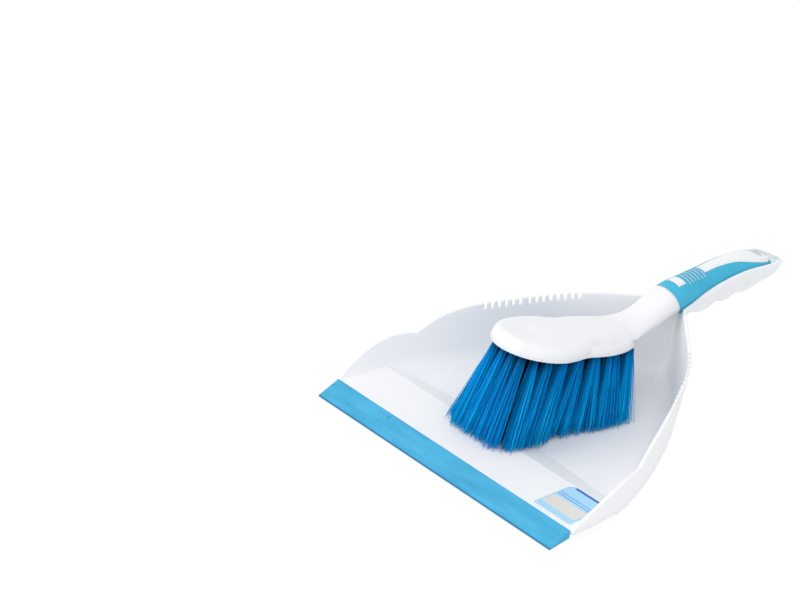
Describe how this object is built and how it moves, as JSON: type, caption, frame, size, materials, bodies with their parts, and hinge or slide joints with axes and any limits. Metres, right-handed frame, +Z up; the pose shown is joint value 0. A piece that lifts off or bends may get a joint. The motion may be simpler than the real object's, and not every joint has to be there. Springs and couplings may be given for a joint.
{
  "type": "dust pan and brush set",
  "caption": "Hand dust pan with a soft front lip, comb teeth on its rim and an open trough handle, and a soft-grip hand brush nested in it that lifts out.",
  "frame": {"origin": "on the ground, half way along the set, on its middle plane", "axes": "+Z up, +Y from the lip towards the handles, +X to the right seen from the lip's rear"},
  "size_m": [0.2264, 0.315, 0.078],
  "materials": {
    "white_plastic": "satin moulded",
    "lip_rubber": "matt, lightly pebbled",
    "grip_rubber": "matt soft touch",
    "bristle": "drawn filament",
    "anchor_wire": "drawn wire",
    "label_film": "printed film"
  },
  "bodies": {
    "pan": {"pan_body": "white_plastic", "lip_strip": "lip_rubber", "label": "label_film"},
    "brush": {"brush_body": "white_plastic", "brush_grip": "grip_rubber", "tuft_anchors": "anchor_wire", "tuft_row_01": "bristle", "tuft_row_02": "bristle", "tuft_row_03": "bristle", "tuft_row_04": "bristle", "tuft_row_05": "bristle", "tuft_row_06": "bristle", "tuft_row_07": "bristle", "tuft_row_08": "bristle", "tuft_row_09": "bristle", "tuft_row_10": "bristle", "tuft_row_11": "bristle", "tuft_row_12": "bristle", "tuft_row_13": "bristle", "tuft_row_14": "bristle", "tuft_row_15": "bristle"}
  },
  "joints": [
    {"name": "brush_lift", "type": "slide", "parent": "pan", "child": "brush", "axis": [0, 0, 1], "range_m": [0, 0.12]}
  ]
}
